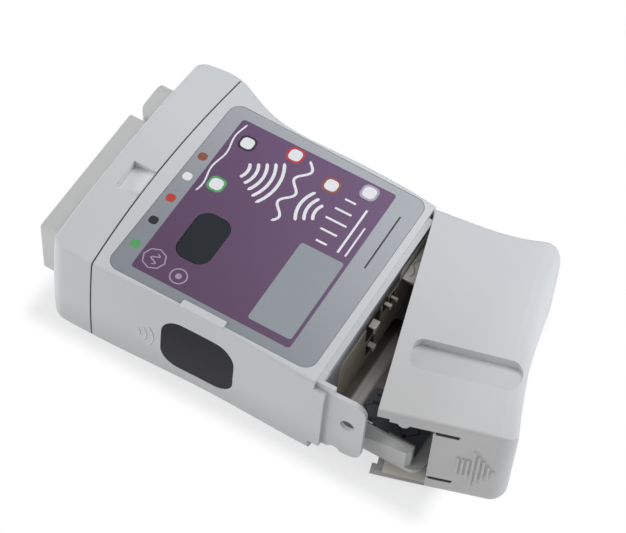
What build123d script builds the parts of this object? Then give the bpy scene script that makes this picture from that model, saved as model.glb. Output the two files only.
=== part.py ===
from build123d import *
import os
from math import sqrt

# ECG telemetry transmitter: a hand-held case with a lead block on one end and a
# hinged battery door on the other. Millimetres. X runs from the lead block to
# the battery door, +Y is the hinge side, -Y the side with the window, +Z the
# labelled front. The origin is on the flat rear face. The door is open by
# door_open_angle, as it rests.

# Case form
case_height = 35.0
side_barrel = 2.4
barrel_widest_z = 7.0
body_end_barrel_share = 0.5
door_barrel_share = 0.4
door_end_barrel_share = 0.05
wall = 2.0
near_half = 35.7
far_half = 36.0
near_shoulder = 1.2
near_swell = 0.4
near_hip = 0.3
near_tail = 1.1
far_shoulder = 7.7
far_taper = 1.6
far_waist = 4.3
far_flare = 2.4
waist_x = -5.0
hip_x = 46.8
flare_x = 52.5
near_cap_share = 0.8
far_cap_drop = 1.0
shoulder_run = 17.0
shoulder_shares = ((1.0, 0.2), (0.56, 0.6), (0.18, 0.97), (-0.3, 1.0))
cap_end_x = -57.4
cap_crown_y = -5.0
cap_crown_radius = 600.0
door_end_x = 62.5
door_end_hollow_radius = 246.0
plan_corner_radius = 5.0
front_crease_radius = 0.9
rear_edge_radius = 4.0
cap_front_roll = 2.0
cap_rear_roll = 9.0
door_end_roll = 5.0
end_overrun = 0.15

# Where the case parts
seam_x = -44.3
seam_bow_y = -3.0
seam_bow_radius = 340.0
gasket_thickness = 0.5
gasket_recess = 0.4
body_end_x = 26.8
cover_height = 3.0
door_gap = 0.4

# General clearances
fit_gap = 0.15
slide_gap = 0.3
lap_gap = 0.2
past_case = 60.0
side_reach = 6.0

# Lap joint between body and door
lap_depth = 1.0
lip_length = 1.6
lip_far_y = 28.0
corner_lip_length = 5.6

# Ear on the near side
ear_step_x = 30.3
ear_end_x = 42.15
ear_bottom_z = 6.2
ear_top_z = 31.7
ear_shoulder_z = 31.9
ear_recess = 1.4
ear_thickness = 1.2
ear_corner_radius = 4.0
ear_foot_radius = 3.8
ear_hole_x = 37.3
ear_hole_z = 20.7
ear_hole_radius = 2.1
ear_notch_x = 34.1
ear_notch_radius = 2.0

# Hinge at the far side
hinge_inset_x = 3.2
hinge_inset_y = 2.7
hinge_pin_radius = 0.8
hinge_running_gap = 0.05
knuckle_radius = 1.9
knuckle_bottom_z = 8.0
knuckle_top_z = 27.0
middle_knuckle_length = 8.3
knuckle_end_gap = 0.25
door_open_angle = 15.5

# Front label and button
label_near_y = -32.45
label_near_x0 = -39.9
label_near_x1 = 24.2
label_far_x0 = -38.7
label_far_x1 = 24.7
label_far_y0 = 33.1
label_far_y1 = 31.5
label_corner_radius = 3.6
label_thickness = 0.35
label_sink = 0.1
label_bar_rise = 0.35
label_bar_reach = 1.0
label_bar_radius = 0.5
label_notch_x0 = -15.9
label_notch_x1 = -2.0
label_notch_depth = 1.6
button_x = -21.8
button_y = -11.4
button_length = 10.7
button_width = 16.8
button_corner_radius = 3.9
button_drop = 0.1
button_flange = 1.4
button_flange_thickness = 1.4
button_travel = 0.7
button_stem_radius = 2.0

# Window in the near side
window_x = -8.9
window_z = 17.7
window_length = 22.6
window_height = 19.7
window_corner_radius = 6.0
window_flange_depth = 1.1
window_flange = 1.2
window_recess = 0.1

# Lead block and round socket on the cap
cap_hollow_x = -52.5
cap_step_x = -47.5
cap_step_z = 6.5
ecg_front_x = -64.7
ecg_y = -4.7
ecg_width = 46.2
ecg_height = 20.6
ecg_wall = 2.8
ecg_depth = 11.0
ecg_edge_radius = 1.2
ecg_pin_rows = 2
ecg_pins_per_row = 6
ecg_pin_pitch = 6.4
ecg_row_pitch = 5.6
ecg_pin_radius = 0.6
ecg_pin_length = 5.6
key_width = 3.0
key_height = 1.6
socket_front_x = -63.8
socket_y = 27.5
socket_width = 15.0
socket_height = 17.6
socket_bore_radius = 5.0
socket_depth = 10.0
socket_corner_radius = 5.0
socket_flange_margin = 0.5
socket_near_plan_radius = 4.5
socket_far_plan_radius = 1.8
socket_pin_circle = 2.6
socket_pin_radius = 0.45
socket_pin_length = 5.0
socket_pin_count = 5
flange_margin = 0.9
flange_thickness = 2.0
block_z = 18.0

# Pocket in the front of the cap
pocket_length = 7.5
pocket_width = 10.0
pocket_y = -4.3
pocket_deep = 2.8
pocket_shallow = 0.7
pocket_wall = 1.6

# Screws, bosses and boards
boss_x0 = -37.0
boss_x1 = 17.0
boss_near_y = -28.6
boss_far_y = 29.5
boss_radius = 4.0
boss_foot_radius = 2.6
rim_thickness = 1.2
insert_radius = 1.7
insert_length = 4.0
screw_radius = 0.95
screw_head_radius = 1.9
screw_head_height = 1.4
screw_head_sink = 0.3
screw_length = 7.0
board_depth = 11.4
board_thickness = 1.6
board_x0 = -41.0
board_x1 = 21.0
board_half_width = 30.4
board_screw_x = -2.0
board_screw_y = 20.0
board_screw_length = 5.0
post_radius = 2.0
post_x = -28.0
post_y = 14.0
tongue_length = 5.5
tongue_root = 5.0
tongue_width = 8.0
tongue_bottom_z = 7.0
tongue_top_z = 12.5
tongue_screw_inset = 3.0
tongue_near_y = -30.4
tongue_far_y = 36.0
connector_board_x = -48.6
connector_board_width = 43.0
connector_board_height = 20.0
header_width = 24.0
header_height = 4.4
shield_length = 24.0
shield_width = 18.0
shield_height = 4.2
shield_wall = 0.6
shield_x = -24.0
shield_y = 14.0
emitter_length = 8.0
emitter_width = 4.6
emitter_height = 3.8
switch_size = 6.2
switch_body_height = 4.2
switch_plunger_radius = 1.6
switch_gap = 0.1

# Battery bay
liner_thickness = 1.8
liner_back_x = 26.0
liner_top_z = 31.8
bay_near_y = -27.0
bay_far_y = 27.0
tray_end_x = 58.0
tray_floor_z = 4.8
tray_floor_thickness = 1.6
tray_root = 6.0
tray_screw_x = 23.2
tray_screw_y = 16.0
tray_boss_height = 4.0
tray_corner_radius = 4.0
rail_thickness = 2.5
rail_end_x = 54.5
rail_top_z = 14.6
rail_facet_start_z = 8.0
rail_facet_end_z = 14.4
rail_facet_width = 1.9
rail_end_chamfer = 1.2
cradle_x = 32.2
cradle_width = 2.2
cradle_rise = 0.6
floor_pad_thickness = 0.6
retainer_near_y = 11.0
retainer_slant = 2.6
retainer_top_z = 27.0
retainer_gap = 0.5
retainer_leg = 1.4
retainer_x0 = 28.4
retainer_x1 = 56.5
cell_diameter = 14.5
first_cell_x = 37.4
contact_width = 8.0
contact_thickness = 0.4
spring_height = 10.0
plate_height = 7.0
spring_bow = 2.4
tab_length = 2.6
tab_thickness = 1.6
wide_tab_width = 3.6
narrow_tab_width = 1.8
wide_tab_ys = (-14.0, -6.5)
narrow_tab_ys = (0.5, 4.5)
contact_tab_z = 24.0

# Battery door
door_end_wall = 2.2
ear_clearance = 0.3
band_bottom_z = 31.0
band_lap_thickness = 0.7
nub_drop = 1.3
door_sill_z = 2.4
nub_x = 34.5
nub_radius = 1.5
slot_width = 0.8
slot_end_x = 49.2
tab_bottom_z = 7.8
scoop_x = 31.4
scoop_deep_y = -10.2
scoop_width = 9.4
scoop_depth = 2.7
scoop_end_x = 61.4
scoop_tip_radius = 3.0
scoop_backing = 1.6
grip_first_x = 49.7
grip_pitch = 1.4
grip_rib_width = 0.7
grip_rib_rise = 0.5
grip_z = 17.3
grip_shaft_height = 8.5
grip_shaft_ribs = 3
grip_head_height = 17.5
grip_head_ribs = 4
end_slot_y = 25.0
end_slot_length = 9.0
end_slot_height = 1.4
end_slot_depth = 0.9
end_slot_z = 26.5

# Worked out from the above
hinge_x = body_end_x + hinge_inset_x
hinge_y = far_half - far_taper - hinge_inset_y
hinge_axis = Axis((hinge_x, hinge_y, 0), (0, 0, 1))
inner_front_z = case_height - wall
board_top_z = inner_front_z - board_depth
board_z = board_top_z - board_thickness
label_top_z = case_height - label_sink
bay_floor_z = tray_floor_z + tray_floor_thickness + floor_pad_thickness
door_start_x = body_end_x + door_gap


def span_box(x0, x1, y0, y1, z0, z1):
    """A box between two X, two Y and two Z values."""
    centre = Pos((x0 + x1) / 2, (y0 + y1) / 2, (z0 + z1) / 2)
    return centre * Box(x1 - x0, y1 - y0, z1 - z0)


def upright(x, y, z0, z1, radius):
    """A cylinder along Z."""
    return Pos(x, y, (z0 + z1) / 2) * Cylinder(radius, z1 - z0)


def rounded_box(x0, x1, y0, y1, z0, z1, radius):
    """A box with its four upright edges rounded."""
    plan = RectangleRounded(x1 - x0, y1 - y0, radius)
    return Pos((x0 + x1) / 2, (y0 + y1) / 2, z0) * extrude(plan, z1 - z0)


def side_prism(outline, y0, y1):
    """A sketch drawn in X and Z, extruded from y0 to y1."""
    return Pos(0, y1, 0) * extrude(Plane.XZ * outline, y1 - y0)


def cap_end_at(y):
    """X of the crowned cap end."""
    rise = sqrt(cap_crown_radius**2 - (y - cap_crown_y) ** 2)
    return cap_end_x + cap_crown_radius - rise


def door_end_at(y):
    """X of the hollow door end."""
    rise = sqrt(door_end_hollow_radius**2 - y**2)
    return door_end_x + door_end_hollow_radius - rise


def near_edge(start, end, barrel, inset):
    """Near long side in plan: full at the cap, nearly upright at the door."""
    return Spline(
        start,
        (seam_x, -near_half - near_shoulder + barrel + inset),
        (waist_x, -near_half + barrel + inset),
        (body_end_x, -near_half - near_swell + barrel * body_end_barrel_share + inset),
        (hip_x, -near_half + near_hip + barrel * door_barrel_share + inset),
        end,
    )


def far_edge(start, end, inset):
    """Far long side in plan: shoulder at the cap, long taper, small flare."""
    shoulder = [
        (seam_x + run_share * shoulder_run, far_half + rise_share * far_shoulder - inset)
        for run_share, rise_share in shoulder_shares
    ]
    return Spline(
        start,
        (flare_x, far_half - far_waist - inset),
        (body_end_x, far_half - far_taper - inset),
        (waist_x, far_half - inset),
        *shoulder,
        end,
    )


def plan_outline(barrel, inset, end_inset):
    """The whole closed case seen from the front, drawn in by the insets."""
    near_cap_y = -near_half - near_shoulder * near_cap_share + barrel + inset
    near_door_y = -near_half + near_tail + barrel * door_end_barrel_share + inset
    far_inset = barrel + inset
    far_cap_y = far_half + far_shoulder - far_cap_drop - far_inset
    far_door_y = far_half - far_waist + far_flare - far_inset
    near_cap = (cap_end_at(near_cap_y) + end_inset, near_cap_y)
    near_door = (door_end_at(near_door_y) - end_inset, near_door_y)
    far_door = (door_end_at(far_door_y) - end_inset, far_door_y)
    far_cap = (cap_end_at(far_cap_y) + end_inset, far_cap_y)
    edges = [
        near_edge(near_cap, near_door, barrel, inset).edge(),
        ThreePointArc(near_door, (door_end_x - end_inset, 0), far_door).edge(),
        far_edge(far_door, far_cap, far_inset).edge(),
        ThreePointArc(far_cap, (cap_end_x + end_inset, cap_crown_y), near_cap).edge(),
    ]
    face = Face(Wire(edges))
    return face.fillet_2d(plan_corner_radius, face.vertices())


def barrel_inset(z):
    """How far the side stands in from its widest, low down."""
    return side_barrel * ((z - barrel_widest_z) / (case_height - barrel_widest_z)) ** 2


def case_loft(z0, z1, inset, end_inset):
    """The case's barrelled form between two heights, drawn in by the insets."""
    heights = (z0, (z0 + z1) / 2, z1)
    return loft([Pos(0, 0, z) * plan_outline(barrel_inset(z), inset, end_inset) for z in heights])


def rounded_loft(lift, inset):
    """The barrelled form with its front crease and rear edge rounded."""
    form = case_loft(lift, case_height - lift, inset, inset - end_overrun)
    form = fillet(form.faces().sort_by(Axis.Z)[-1].edges(), front_crease_radius)
    return fillet(form.faces().sort_by(Axis.Z)[0].edges(), rear_edge_radius)


def seam_disc(setback):
    """A wide disc whose rim is the bowed seam, set back towards the door."""
    centre_x = seam_x + seam_bow_radius
    return upright(centre_x, seam_bow_y, -1, case_height + 1, seam_bow_radius - setback)


def cap_end_block():
    """A wide disc whose rim is the crowned cap end with its two rolls."""
    centre = (cap_end_x + cap_crown_radius, cap_crown_y)
    disc = upright(*centre, 0, case_height, cap_crown_radius)
    rims = disc.edges().filter_by(GeomType.CIRCLE).group_by(Axis.Z)
    disc = fillet(rims[0], cap_rear_roll)
    rims = disc.edges().filter_by(GeomType.CIRCLE).group_by(Axis.Z)
    return fillet(rims[-1], cap_front_roll)


def door_end_block():
    """A block whose end is the hollow door end with its rolled edges."""
    block = span_box(-2 * door_end_x, door_end_x + 12, -past_case, past_case, 0, case_height)
    centre = (door_end_x + door_end_hollow_radius, 0)
    block -= upright(*centre, -1, case_height + 1, door_end_hollow_radius)
    return fillet(block.edges().filter_by(GeomType.CIRCLE), door_end_roll)


def case_form():
    """The outer form of the whole closed case."""
    return rounded_loft(0, 0) & cap_end_block() & door_end_block()


def case_hollow():
    """The space inside the walls."""
    hollow = case_loft(wall, inner_front_z, wall, door_end_wall)
    hollow -= span_box(cap_end_x - 9, cap_hollow_x, -past_case, past_case, 0, case_height)
    return hollow - span_box(cap_end_x - 9, cap_step_x, -past_case, past_case, 0, cap_step_z)


def side_layer(outer, inner):
    """The layer of the case's sides between two depths below the surface."""
    layer = case_loft(0, case_height, outer, outer)
    return layer - case_loft(-1, case_height + 1, inner, inner)


def boss_places():
    """The four case screws, seen from the front."""
    return [(x, y) for x in (boss_x0, boss_x1) for y in (boss_near_y, boss_far_y)]


def tray_screw_places():
    """The two screws that hold the battery tray."""
    return [(tray_screw_x, y) for y in (-tray_screw_y, tray_screw_y)]


def board_screw_places():
    """The two screws that hold the main board."""
    return [(board_screw_x, y) for y in (-board_screw_y, board_screw_y)]


def tongue_screw_places():
    """The two screws that hold the connector cap."""
    x = seam_x - tongue_screw_inset
    return [(x, tongue_near_y), (x, tongue_far_y)]


def button_plan(grow):
    """The patient button's rounded rectangle, grown on every side."""
    length = button_length + 2 * grow
    width = button_width + 2 * grow
    plan = RectangleRounded(length, width, button_corner_radius + grow)
    return Pos(button_x, button_y) * plan


def label_plan(grow):
    """The label's outline with the notch in its near edge."""
    corners = (
        (label_near_x0, label_near_y),
        (label_near_x1, label_near_y),
        (label_far_x1, label_far_y1),
        (label_far_x0, label_far_y0),
    )
    plan = make_face(Polyline(*corners, close=True))
    plan = fillet(plan.vertices(), label_corner_radius)
    if grow:
        plan = offset(plan, grow)
    notch_length = label_notch_x1 - label_notch_x0 - 2 * grow
    notch = Pos((label_notch_x0 + label_notch_x1) / 2, label_near_y)
    return plan - notch * Rectangle(notch_length, 2 * (label_notch_depth - grow))


def label_bar():
    """The raised bar in the label's notch, on the front's near edge."""
    near_y = label_near_y - label_bar_reach
    far_y = label_near_y + label_notch_depth - fit_gap
    limits = (label_notch_x0 + fit_gap, label_notch_x1 - fit_gap, near_y, far_y)
    bar = rounded_box(*limits, inner_front_z, case_height + label_bar_rise, label_bar_radius)
    return fillet(bar.faces().sort_by(Axis.Z)[-1].edges(), label_bar_rise / 2)


def window_plan(grow):
    """The window's outline in X and Z, grown on every side."""
    length = window_length + 2 * grow
    height = window_height + 2 * grow
    plan = RectangleRounded(length, height, window_corner_radius + grow)
    return Pos(window_x, window_z) * plan


def ear_root_plan(grow):
    """The ear's flush root in X and Z, grown on its end and its top."""
    x0 = body_end_x - 2
    x1 = ear_step_x + grow
    z1 = ear_shoulder_z + grow
    return Pos((x0 + x1) / 2, (ear_bottom_z + z1) / 2) * Rectangle(x1 - x0, z1 - ear_bottom_z)


def ear_plate_plan(grow):
    """The ear's recessed plate and the lip that turns the corner."""
    x0 = body_end_x - 2
    length = ear_end_x - x0 + grow
    height = ear_top_z - ear_bottom_z + 2 * grow
    plan = Pos(x0 + length / 2, (ear_top_z + ear_bottom_z) / 2) * Rectangle(length, height)
    corners = plan.vertices().group_by(Axis.X)[-1].sort_by(Axis.Y)
    plan = fillet(corners[-1], ear_corner_radius + grow)
    corners = plan.vertices().group_by(Axis.Y)[0].sort_by(Axis.X)
    plan = fillet(corners[-1], ear_foot_radius + grow)
    high_top = case_height - lap_depth + grow
    high_end = body_end_x + corner_lip_length + grow
    high_z = ear_top_z - lap_depth
    high = Pos((x0 + high_end) / 2, (high_z + high_top) / 2)
    return plan + high * Rectangle(high_end - x0, high_top - high_z)


def front_lip(grow, far_y):
    """The lip under the door's front edge, grown where the door laps it."""
    x1 = body_end_x + lip_length + grow
    z1 = case_height - lap_depth + grow
    near_y = -near_half + side_barrel
    return span_box(body_end_x - 3, x1, near_y, far_y, inner_front_z - 1 - grow, z1)


def hinge_web():
    """The body's middle knuckle on its short arm."""
    middle = (knuckle_bottom_z + knuckle_top_z) / 2
    z0 = middle - middle_knuckle_length / 2
    z1 = middle + middle_knuckle_length / 2
    arm = span_box(body_end_x - 3, hinge_x, hinge_y - knuckle_radius, hinge_y + knuckle_radius, z0, z1)
    knuckle = arm + upright(hinge_x, hinge_y, z0, z1, knuckle_radius)
    return knuckle - upright(hinge_x, hinge_y, z0, z1, hinge_pin_radius)


def cap_tongues(form):
    """Two tongues that reach into the cap and take its screws."""
    clear = case_loft(wall, inner_front_z, wall + fit_gap, wall)
    tongues = []
    for x, y in tongue_screw_places():
        limits = (y - tongue_width / 2, y + tongue_width / 2, tongue_bottom_z, tongue_top_z)
        reach = span_box(seam_x - tongue_length, seam_x + tongue_root, *limits) & clear
        side = 4 if y > 0 else -4
        root_y = sorted((y - side, y + 2 * side))
        root = span_box(seam_x, seam_x + tongue_root, *root_y, tongue_bottom_z, tongue_top_z)
        tongue = reach + (root & form & seam_disc(gasket_thickness / 2))
        hole_top = tongue_bottom_z + insert_length
        tongues.append(tongue - upright(x, y, tongue_bottom_z, hole_top, insert_radius))
    return tongues


def main_housing(form, hollow):
    """Front shell of the body, with ear, lip, hinge knuckle and bosses."""
    body = span_box(seam_x, body_end_x, -past_case, past_case, cover_height, case_height)
    body &= seam_disc(gasket_thickness / 2)
    shell = (form & body) - hollow
    for x, y in boss_places():
        shell += upright(x, y, board_top_z, inner_front_z + 0.5, boss_radius)
        shell += upright(x, y, cover_height, board_top_z, boss_foot_radius)
        shell -= upright(x, y, cover_height, cover_height + insert_length, insert_radius)
        shell -= upright(x, y, cover_height + insert_length, screw_length + 1, screw_radius + fit_gap)
    for x, y in board_screw_places():
        shell += upright(x, y, board_top_z, inner_front_z + 0.5, post_radius + 0.6)
        shell -= upright(x, y, board_top_z, board_top_z + board_screw_length, screw_radius)
    beyond = span_box(body_end_x - 1.5, ear_end_x + 5, -past_case, -near_half + side_reach, 0, case_height)
    root = form & side_prism(ear_root_plan(0), -past_case, -near_half + side_reach) & beyond
    root -= case_loft(0, case_height, ear_recess + ear_thickness, wall)
    plate = side_layer(ear_recess, ear_recess + ear_thickness)
    plate &= side_prism(ear_plate_plan(0), -past_case, -near_half + side_reach)
    shell += root
    shell += plate & beyond
    lip_space = case_loft(0, case_height, lap_depth, lap_depth)
    shell += (front_lip(0, lip_far_y) & lip_space) + hinge_web()
    shell += cap_tongues(form)
    hole = Pos(ear_hole_x, ear_hole_z) * Circle(ear_hole_radius)
    shell -= side_prism(hole, -past_case, -near_half + side_reach)
    notch = Pos(ear_notch_x, ear_bottom_z - ear_notch_radius / 3) * Circle(ear_notch_radius)
    shell -= side_prism(notch, -past_case, -near_half + side_reach)
    shell -= Pos(0, 0, label_top_z - label_thickness) * extrude(label_plan(fit_gap), 2)
    shell += label_bar()
    shell -= Pos(0, 0, case_height - 6) * extrude(button_plan(slide_gap), 10)
    return shell - side_prism(window_plan(fit_gap), -past_case, -near_half / 2)


def rear_cover(form, hollow):
    """Rear plate with its locating rim, board posts and screw holes."""
    body = span_box(seam_x, body_end_x, -past_case, past_case, 0, cover_height)
    body &= seam_disc(gasket_thickness / 2)
    cover = (form & body) - hollow
    rim_top = cover_height + 2
    rim = case_loft(wall / 2, rim_top, wall + fit_gap, wall)
    rim -= case_loft(0, rim_top + 1, wall + rim_thickness, wall + rim_thickness)
    rim_end = boss_radius + 2
    rim &= span_box(boss_x0 + rim_end, boss_x1 - rim_end, -past_case, past_case, 0, case_height)
    cover += rim
    cover += span_box(body_end_x - 2, body_end_x + lip_length, -near_half + 4, lip_far_y, 0, wall)
    for x, y in tray_screw_places():
        cover += upright(x, y, wall / 2, tray_floor_z, screw_head_radius + 1)
    for y in (-post_y, post_y):
        cover += upright(post_x, y, wall / 2, board_z, post_radius)
    for x, y in boss_places():
        cover += upright(x, y, wall / 2, cover_height, boss_foot_radius)
    for x, y in boss_places() + tray_screw_places():
        cover -= upright(x, y, 0, tray_floor_z, screw_radius + fit_gap)
        cover -= upright(x, y, 0, screw_head_height + screw_head_sink, screw_head_radius + fit_gap)
    return cover


def end_cap_gasket(hollow):
    """The dark seal in the seam, a little below the surface."""
    ring = seam_disc(-gasket_thickness / 2) - seam_disc(gasket_thickness / 2)
    ring &= span_box(2 * seam_x, body_end_x, -past_case, past_case, 0, case_height)
    return (rounded_loft(gasket_recess, gasket_recess) & ring) - hollow


def pocket_cutter():
    """The pocket's wedge, deepest away from the seam."""
    x0 = seam_x - pocket_length
    points = [
        (x0, case_height + 1),
        (x0, case_height - pocket_deep),
        (seam_x + 1, case_height - pocket_shallow),
        (seam_x + 1, case_height + 1),
    ]
    profile = make_face(Polyline(*points, close=True))
    return side_prism(profile, pocket_y - pocket_width / 2, pocket_y + pocket_width / 2)


def connector_end_cap(form, hollow):
    """End cap with its two sockets' openings, the pocket and screw holes."""
    cap_space = span_box(2 * cap_end_x, body_end_x, -past_case, past_case, 0, case_height)
    cap = (form & (cap_space - seam_disc(-gasket_thickness / 2))) - hollow
    backing_y = (pocket_y - pocket_width / 2 - wall, pocket_y + pocket_width / 2 + wall)
    backing_z = case_height - pocket_deep - pocket_wall
    cap += span_box(cap_hollow_x, seam_x - gasket_thickness / 2, *backing_y, backing_z, inner_front_z)
    cap -= pocket_cutter()
    cap -= ecg_outer(fit_gap, ecg_front_x, cap_hollow_x + 1)
    cap -= socket_outer(fit_gap, socket_front_x, cap_hollow_x + 1)
    for x, y in tongue_screw_places():
        cap -= upright(x, y, 0, tongue_bottom_z, screw_radius + fit_gap)
        cap -= upright(x, y, 0, screw_head_height + screw_head_sink, screw_head_radius + fit_gap)
    return cap


def ecg_outer(grow, x0, x1):
    """The lead block's outside, square to the case's end."""
    half_width = ecg_width / 2 + grow
    half_height = ecg_height / 2 + grow
    y_limits = (ecg_y - half_width, ecg_y + half_width)
    block = span_box(x0, x1, *y_limits, block_z - half_height, block_z + half_height)
    return fillet(block.edges().filter_by(Axis.X), ecg_edge_radius)


def ecg_receptacle():
    """Lead block: a moulded frame with a keyed recess and a flange inside."""
    block = ecg_outer(0, ecg_front_x, cap_hollow_x)
    block = fillet(block.faces().sort_by(Axis.X)[0].edges(), ecg_edge_radius / 2)
    half_width = ecg_width / 2 + flange_margin
    half_height = ecg_height / 2 + flange_margin
    block += span_box(
        cap_hollow_x,
        cap_hollow_x + flange_thickness,
        ecg_y - half_width,
        ecg_y + half_width,
        block_z - ecg_height / 2,
        block_z + half_height,
    )
    half_width = ecg_width / 2 - ecg_wall
    half_height = ecg_height / 2 - ecg_wall
    cavity = span_box(
        ecg_front_x,
        ecg_front_x + ecg_depth,
        ecg_y - half_width,
        ecg_y + half_width,
        block_z - half_height,
        block_z + half_height,
    )
    cavity = fillet(cavity.edges().filter_by(Axis.X), ecg_edge_radius)
    for y in (ecg_y - half_width / 2, ecg_y + half_width / 2):
        cavity -= span_box(
            ecg_front_x,
            ecg_front_x + ecg_depth,
            y - key_width / 2,
            y + key_width / 2,
            block_z + half_height - key_height,
            block_z + half_height,
        )
    block -= cavity
    for place in ecg_pin_places():
        block -= place * Cylinder(ecg_pin_radius, -2 * ecg_front_x)
    return block


def ecg_pin_places():
    """The contact pins, in rows across the lead block, along X."""
    places = []
    for row in range(ecg_pin_rows):
        z = block_z + (row - (ecg_pin_rows - 1) / 2) * ecg_row_pitch - key_height / 2
        for index in range(ecg_pins_per_row):
            y = ecg_y + (index - (ecg_pins_per_row - 1) / 2) * ecg_pin_pitch
            places.append(Pos(0, y, z) * Rot(0, 90, 0))
    return places


def pin_group(places, radius, tip_x, tail_x):
    """Round pins along X between two X values, one solid each."""
    centre = (tip_x + tail_x) / 2
    return [Pos(centre, 0, 0) * place * Cylinder(radius, tail_x - tip_x) for place in places]


def ecg_contact_pins():
    """Pins of the lead block, soldered into the connector board."""
    tip = ecg_front_x + ecg_depth - ecg_pin_length
    return pin_group(ecg_pin_places(), ecg_pin_radius, tip, connector_board_x + board_thickness)


def socket_outer(grow, x0, x1):
    """The small socket's outside, with its far edges well rounded."""
    half_width = socket_width / 2 + grow
    half_height = socket_height / 2 + grow
    block = span_box(
        x0, x1, socket_y - half_width, socket_y + half_width, block_z - half_height, block_z + half_height
    )
    far_edges = block.edges().filter_by(Axis.X).group_by(Axis.Y)
    block = fillet(far_edges[0], ecg_edge_radius)
    return fillet(block.edges().filter_by(Axis.X).group_by(Axis.Y)[-1], socket_corner_radius)


def socket_plan():
    """The small socket seen from the front, its outer corners rounded."""
    length = cap_hollow_x - socket_front_x
    plan = Pos((cap_hollow_x + socket_front_x) / 2, socket_y) * Rectangle(length, socket_width)
    corners = plan.vertices().group_by(Axis.X)[0].sort_by(Axis.Y)
    plan = fillet(corners[0], socket_near_plan_radius)
    corners = plan.vertices().group_by(Axis.Y)[-1].sort_by(Axis.X)
    return fillet(corners[0], socket_far_plan_radius)


def socket_pin_places():
    """The small socket's pins on their circle, along X."""
    ring = PolarLocations(socket_pin_circle, socket_pin_count)
    return [Pos(0, socket_y, block_z) * Rot(0, 90, 0) * place for place in ring]


def spo2_receptacle():
    """Small block with a round socket for the finger sensor's plug."""
    block = socket_outer(0, socket_front_x, cap_hollow_x)
    block &= extrude(socket_plan(), case_height)
    half = socket_width / 2 + socket_flange_margin
    block += span_box(
        cap_hollow_x,
        cap_hollow_x + flange_thickness,
        socket_y - half,
        socket_y + half,
        block_z - half,
        block_z + half,
    )
    bore = Pos(socket_front_x + socket_depth / 2, socket_y, block_z) * Rot(0, 90, 0)
    block -= bore * Cylinder(socket_bore_radius, socket_depth)
    for place in socket_pin_places():
        block -= place * Cylinder(socket_pin_radius, -2 * socket_front_x)
    return block


def spo2_contact_pins():
    """Pins of the small socket."""
    tip = socket_front_x + socket_depth - socket_pin_length
    tail = cap_hollow_x + flange_thickness + 1.2
    return pin_group(socket_pin_places(), socket_pin_radius, tip, tail)


def front_label():
    """Printed film in its recess, open over the button."""
    plan = label_plan(0) - button_plan(slide_gap)
    return Pos(0, 0, label_top_z - label_thickness) * extrude(plan, label_thickness)


def patient_button():
    """Call button: a cap with a flange behind the wall and a stem."""
    top = case_height - button_drop
    flange_top = inner_front_z - fit_gap / 3
    cap = Pos(0, 0, flange_top - 0.5) * extrude(button_plan(0), top - flange_top + 0.5)
    cap = fillet(cap.faces().sort_by(Axis.Z)[-1].edges(), 0.4)
    flange_z = flange_top - button_flange_thickness
    cap += Pos(0, 0, flange_z) * extrude(button_plan(button_flange), button_flange_thickness)
    return cap + upright(button_x, button_y, button_stem_end(), flange_z, button_stem_radius)


def button_stem_end():
    """Lower end of the button's stem, clear of the plunger when pressed."""
    return board_top_z + 2 * switch_body_height + button_travel + switch_gap


def button_switch():
    """Tactile switch on the main board, with its plunger."""
    half = switch_size / 2
    body_top = board_top_z + switch_body_height
    body = span_box(
        button_x - half, button_x + half, button_y - half, button_y + half, board_top_z, body_top
    )
    plunger_top = body_top + switch_body_height
    return body + upright(button_x, button_y, body_top, plunger_top, switch_plunger_radius)


def infrared_window():
    """Dark window that follows the barrelled side, with a flange inside."""
    plug = side_prism(window_plan(0), -past_case, -near_half / 2)
    pane = side_layer(window_recess, wall + window_recess) & plug
    rim = side_layer(wall + 0.05, wall + window_flange_depth)
    return pane + (rim & side_prism(window_plan(window_flange), -past_case, -near_half / 2))


def infrared_emitter():
    """Infrared part at the board's near edge, behind the window."""
    y0 = -board_half_width
    half = emitter_length / 2
    z1 = board_top_z + emitter_height
    block = span_box(window_x - half, window_x + half, y0, y0 + emitter_width, board_top_z, z1)
    lens = Pos(window_x, y0 - 0.4, board_top_z + emitter_height / 2) * Rot(90, 0, 0)
    return block + lens * Cylinder(1.3, 0.9)


def main_circuit_board():
    """Main board, seated on the bosses' shoulders."""
    board = span_box(board_x0, board_x1, -board_half_width, board_half_width, board_z, board_top_z)
    for x, y in boss_places():
        board -= upright(x, y, board_z, board_top_z, boss_foot_radius + slide_gap)
    for x, y in board_screw_places():
        board -= upright(x, y, board_z, board_top_z, screw_radius + fit_gap)
    return board


def board_screws():
    """Two screws from behind through the main board."""
    screws = []
    for x, y in board_screw_places():
        shank = upright(x, y, board_z, board_top_z + board_screw_length - 0.5, screw_radius - 0.03)
        screws.append(shank + upright(x, y, board_z - screw_head_height, board_z, screw_head_radius))
    return screws


def rf_shield_can():
    """Open metal can over the radio."""
    half_length = shield_length / 2
    half_width = shield_width / 2
    z1 = board_top_z + shield_height
    x_limits = (shield_x - half_length, shield_x + half_length)
    y_limits = (shield_y - half_width, shield_y + half_width)
    can = span_box(*x_limits, *y_limits, board_top_z, z1)
    can = fillet(can.edges().filter_by(Axis.Z), 1.0)
    inner_x = (x_limits[0] + shield_wall, x_limits[1] - shield_wall)
    inner_y = (y_limits[0] + shield_wall, y_limits[1] - shield_wall)
    return can - span_box(*inner_x, *inner_y, board_top_z, z1 - shield_wall)


def connector_board():
    """Upright board behind the lead block."""
    half_width = connector_board_width / 2
    half_height = connector_board_height / 2
    x1 = connector_board_x + board_thickness
    board = span_box(
        connector_board_x,
        x1,
        ecg_y - half_width,
        ecg_y + half_width,
        block_z - half_height,
        block_z + half_height,
    )
    for place in ecg_pin_places():
        board -= place * Cylinder(ecg_pin_radius, -2 * ecg_front_x)
    return board


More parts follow.
